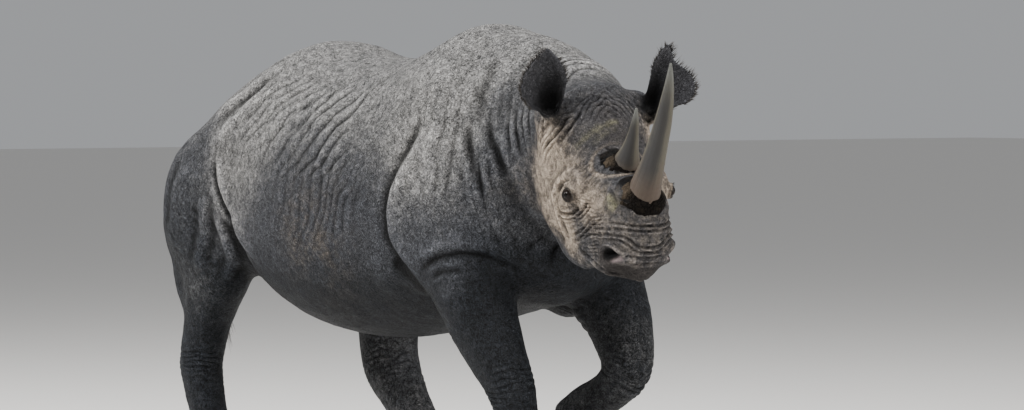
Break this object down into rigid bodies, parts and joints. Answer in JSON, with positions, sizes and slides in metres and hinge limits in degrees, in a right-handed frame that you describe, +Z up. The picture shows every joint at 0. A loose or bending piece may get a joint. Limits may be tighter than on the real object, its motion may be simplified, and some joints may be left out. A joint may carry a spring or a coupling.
{
  "type": "black rhinoceros",
  "caption": "Life-size walking black rhinoceros with two horns, one forefoot lifted and the head turned to its right.",
  "frame": {"origin": "centre of the bounding box on the floor, between the feet", "axes": "-Y is the way the animal faces, +X its left side, +Z up"},
  "size_m": [0.8908, 2.8494, 1.5578],
  "materials": {
    "hide": "thick dry hide, dusty slate grey",
    "face": "wrinkled hide, warm taupe grey",
    "leg_hide": "thick hide, dark slate",
    "ear": "thin hide, charcoal",
    "eye": "wet and glossy, dark brown",
    "horn": "worn horn, olive tan, satin",
    "nail": "scuffed horn, dark tan"
  },
  "bodies": {
    "root": {"trunk": "hide", "neck": "hide", "head": "face", "tail": "hide", "right_foreleg": "leg_hide", "left_foreleg": "leg_hide", "right_hindleg": "leg_hide", "left_hindleg": "leg_hide", "right_ear": "ear", "left_ear": "ear", "right_eye": "eye", "left_eye": "eye", "front_horn": "horn", "rear_horn": "horn", "right_foreleg_toenail_inner": "nail", "right_foreleg_toenail_middle": "nail", "right_foreleg_toenail_outer": "nail", "left_foreleg_toenail_inner": "nail", "left_foreleg_toenail_middle": "nail", "left_foreleg_toenail_outer": "nail", "right_hindleg_toenail_inner": "nail", "right_hindleg_toenail_middle": "nail", "right_hindleg_toenail_outer": "nail", "left_hindleg_toenail_inner": "nail", "left_hindleg_toenail_middle": "nail", "left_hindleg_toenail_outer": "nail"}
  },
  "joints": []
}
